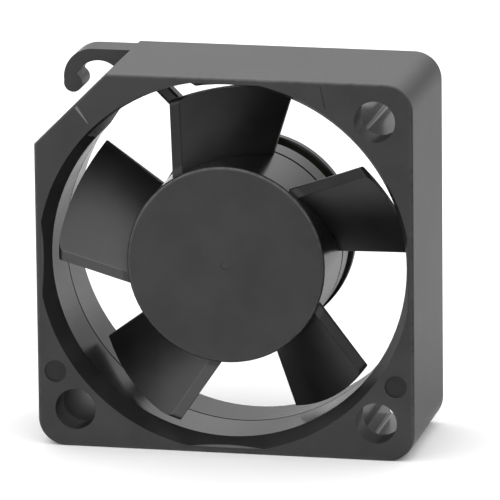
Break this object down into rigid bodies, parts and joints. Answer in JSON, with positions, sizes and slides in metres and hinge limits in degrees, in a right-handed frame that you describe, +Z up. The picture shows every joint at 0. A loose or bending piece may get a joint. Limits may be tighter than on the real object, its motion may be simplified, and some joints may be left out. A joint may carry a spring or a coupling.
{
  "type": "axial cooling fan",
  "caption": "Small square axial cooling fan: a swept-blade impeller on a sleeve bearing, in a moulded frame with screw corners, one cut corner and a wire hook.",
  "frame": {"origin": "middle of the square frame on the shaft's axis, halfway between the intake and outlet faces", "axes": "-Y is the intake side, +Y the outlet side and the direction of the air; +Z is up as the fan stands; +X is to the right seen from the intake"},
  "size_m": [0.025, 0.01, 0.025],
  "materials": {
    "black_plastic": "satin, fine moulded grain",
    "zinc_plated_steel": "plated",
    "magnet": "matt, bonded magnet",
    "brass": "turned",
    "ground_steel": "ground and polished",
    "nylon": "satin",
    "bronze": "sintered, oily",
    "black_cap": "satin",
    "lamination_steel": "stamped",
    "bobbin_plastic": "satin",
    "copper_wire": "lacquered",
    "tinned_metal": "tinned",
    "board": "solder mask",
    "chip_plastic": "moulded",
    "ceramic": "fired"
  },
  "bodies": {
    "housing": {"frame": "black_plastic", "bearing_tube": "brass", "sleeve_bearing": "bronze", "oil_seal": "nylon", "thrust_plate": "nylon", "end_cap": "black_cap", "stator_core": "lamination_steel", "upper_insulator": "bobbin_plastic", "lower_insulator": "bobbin_plastic", "coil_1": "copper_wire", "coil_2": "copper_wire", "coil_3": "copper_wire", "coil_4": "copper_wire", "terminal_pins": "tinned_metal", "circuit_board": "board", "hall_sensor": "chip_plastic", "driver_chip": "chip_plastic", "capacitor": "ceramic", "resistor": "chip_plastic"},
    "rotor": {"impeller": "black_plastic", "rotor_yoke": "zinc_plated_steel", "ring_magnet": "magnet", "hub_insert": "brass", "shaft": "ground_steel", "retaining_ring": "nylon"}
  },
  "joints": [
    {"name": "rotor_spin", "type": "hinge", "parent": "housing", "child": "rotor", "pos_m": [0, 0, 0], "axis": [0, -1, 0], "continuous": true}
  ]
}
